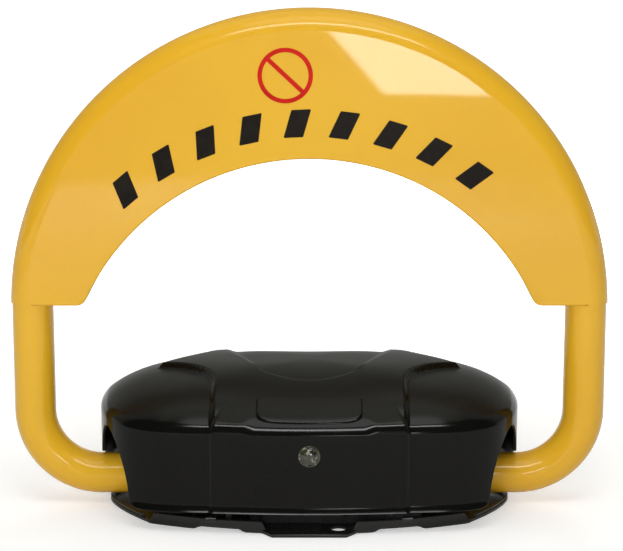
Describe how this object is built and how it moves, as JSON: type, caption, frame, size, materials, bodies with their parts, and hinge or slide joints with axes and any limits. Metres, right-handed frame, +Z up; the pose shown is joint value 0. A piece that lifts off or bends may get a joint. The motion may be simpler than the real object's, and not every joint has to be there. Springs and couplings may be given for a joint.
{
  "type": "folding parking lock",
  "caption": "Ground-mounted parking barrier: a tube loop with a crescent sign folds flat about a low domed motor base.",
  "frame": {"origin": "middle of the base plate's underside, on the ground, under the middle of the hinge line", "axes": "+X along the hinge line, +Y to the rear, +Z up; the lens in the cover's front wall faces -Y"},
  "size_m": [0.4658, 0.196, 0.3879],
  "materials": {
    "yellow_paint": "gloss powder coat",
    "black_paint": "gloss powder coat",
    "bare_steel": "mill finish",
    "zinc_steel": "zinc plated",
    "bronze": "sintered",
    "cast_alloy": "cast",
    "black_plastic": "moulded",
    "grey_plastic": "moulded",
    "board_green": "solder mask",
    "cell_wrap": "plain wrap",
    "rubber_black": "matt",
    "clear_lens": "clear",
    "lock_brass": "turned"
  },
  "bodies": {
    "base": {"base_plate": "black_paint", "brackets": "bare_steel", "bracket_bolts": "zinc_steel", "bushes": "bronze", "bridge": "bare_steel", "bridge_bolts": "zinc_steel", "gearbox_housing": "cast_alloy", "gearbox_lid": "bare_steel", "motor_can": "zinc_steel", "motor_cap": "black_plastic", "battery_tray": "black_plastic", "battery_cells": "cell_wrap", "battery_strap": "bare_steel", "board_case": "grey_plastic", "board_lid": "black_plastic", "control_board": "board_green", "board_parts": "black_plastic", "antenna": "black_plastic", "buzzer": "black_plastic", "sensor_plate": "bare_steel", "hall_sensors": "black_plastic", "strike_bracket": "zinc_steel", "hinge_brackets": "zinc_steel", "hinge_pins": "zinc_steel", "rear_buffers": "rubber_black", "small_screws": "zinc_steel", "motor_cable": "rubber_black", "battery_cable": "rubber_black"},
    "loop": {"loop_tube": "yellow_paint", "sign_front": "yellow_paint", "sign_back": "yellow_paint", "sign_rim": "yellow_paint", "sign_edge": "yellow_paint", "main_shaft": "bare_steel", "stub_pins": "zinc_steel", "sector_gear": "zinc_steel", "sector_pin": "bare_steel", "shaft_collars": "zinc_steel", "position_magnet": "zinc_steel"},
    "pinion": {"output_pinion": "zinc_steel"},
    "cover": {"cover": "black_paint", "blank_plate": "black_plastic", "status_lens": "clear_lens", "lens_nut": "zinc_steel", "status_led": "board_green", "hinge_leaves": "zinc_steel", "lock_barrel": "zinc_steel", "lock_nut": "zinc_steel"},
    "lock": {"lock_plug": "lock_brass", "lock_cam": "zinc_steel", "cam_screw": "zinc_steel"}
  },
  "joints": [
    {"name": "loop_fold", "type": "hinge", "parent": "base", "child": "loop", "pos_m": [0, 0, 0.022], "axis": [-1, 0, 0], "range_deg": [0, 90]},
    {"name": "pinion_spin", "type": "hinge", "parent": "base", "child": "pinion", "pos_m": [-0.058, 0, 0.0685], "axis": [1, 0, 0], "range_deg": [0, 308.6]},
    {"name": "cover_open", "type": "hinge", "parent": "base", "child": "cover", "pos_m": [0, -0.08, 0.018], "axis": [1, 0, 0], "range_deg": [0, 35]},
    {"name": "lock_turn", "type": "hinge", "parent": "cover", "child": "lock", "pos_m": [0, 0.08, 0.05], "axis": [0, -1, 0], "range_deg": [0, 90]}
  ],
  "couplings": [
    {"joint": "pinion_spin", "follows": "loop_fold", "ratio": 3.4286}
  ]
}
